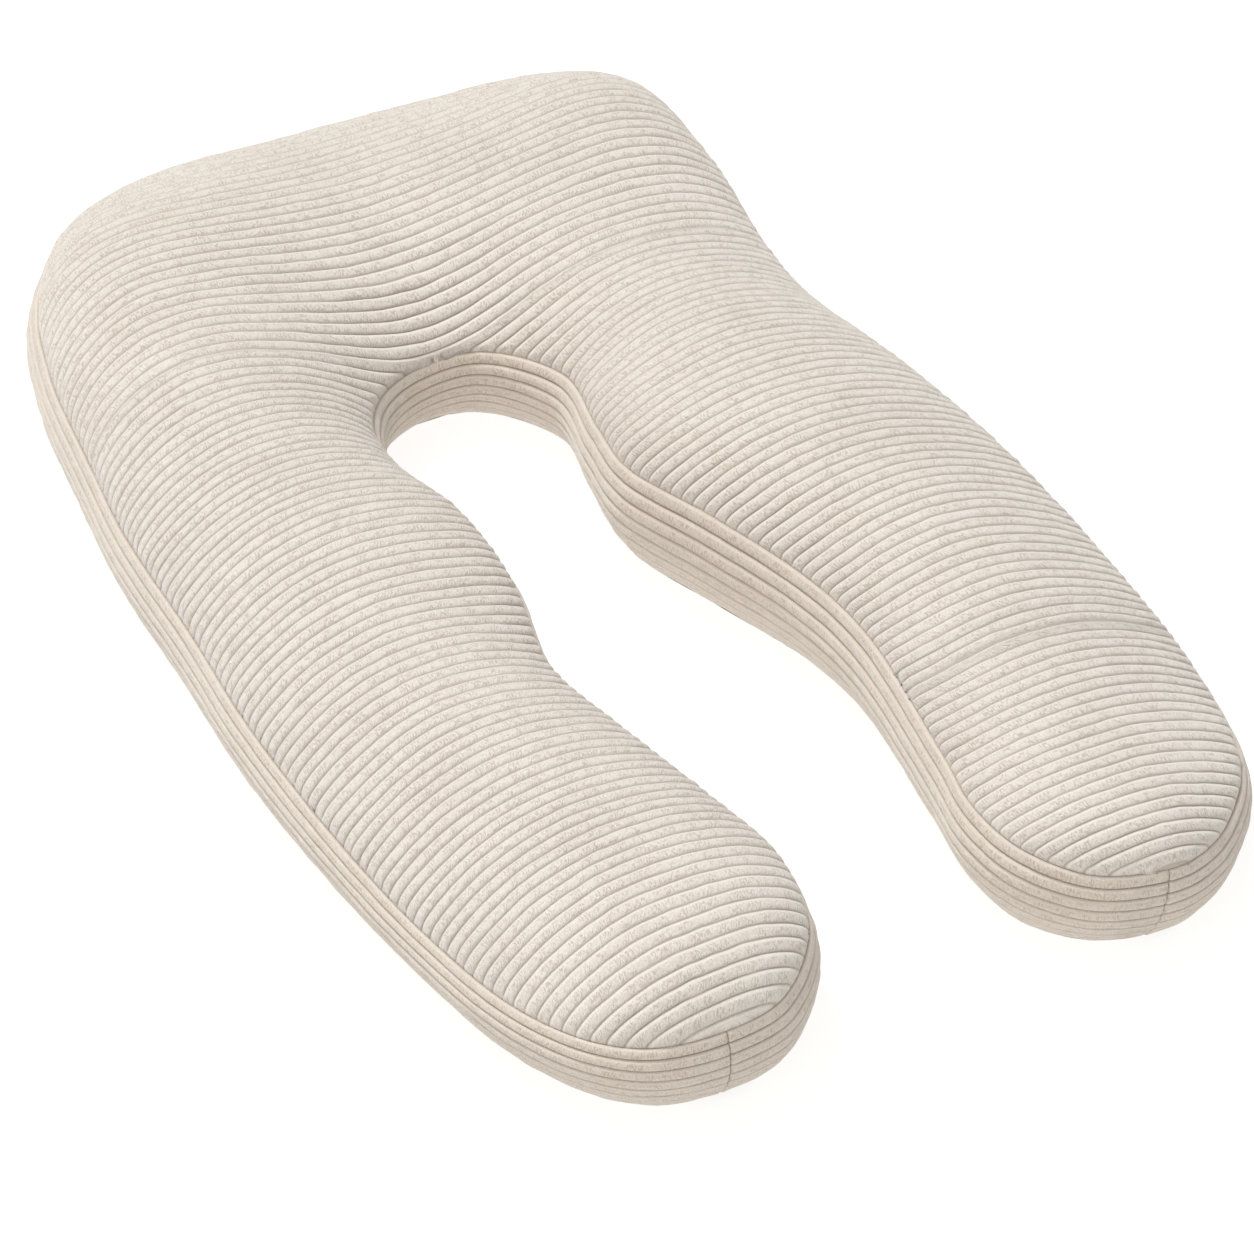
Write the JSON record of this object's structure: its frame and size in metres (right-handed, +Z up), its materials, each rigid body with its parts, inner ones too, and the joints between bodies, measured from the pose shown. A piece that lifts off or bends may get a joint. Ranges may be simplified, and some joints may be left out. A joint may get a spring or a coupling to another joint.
{
  "type": "pregnancy pillow",
  "caption": "U-shaped full-length pregnancy pillow in cream wide-wale plush corduroy, with a ribbed side band sewn between its top and bottom panels",
  "frame": {"origin": "middle of the footprint, on the surface that the pillow lies on", "axes": "+Y from the leg ends to the head, +X across the pillow, +Z up through its thickness"},
  "size_m": [0.8956, 1.4324, 0.1963],
  "materials": {
    "panel_cloth": "wide-wale plush corduroy, cream, wales across the pillow",
    "band_cloth": "wide-wale plush corduroy, cream, wales along the band"
  },
  "bodies": {
    "root": {"pillow_body": "panel_cloth", "band_outer": "band_cloth", "band_inner": "band_cloth"}
  },
  "joints": []
}
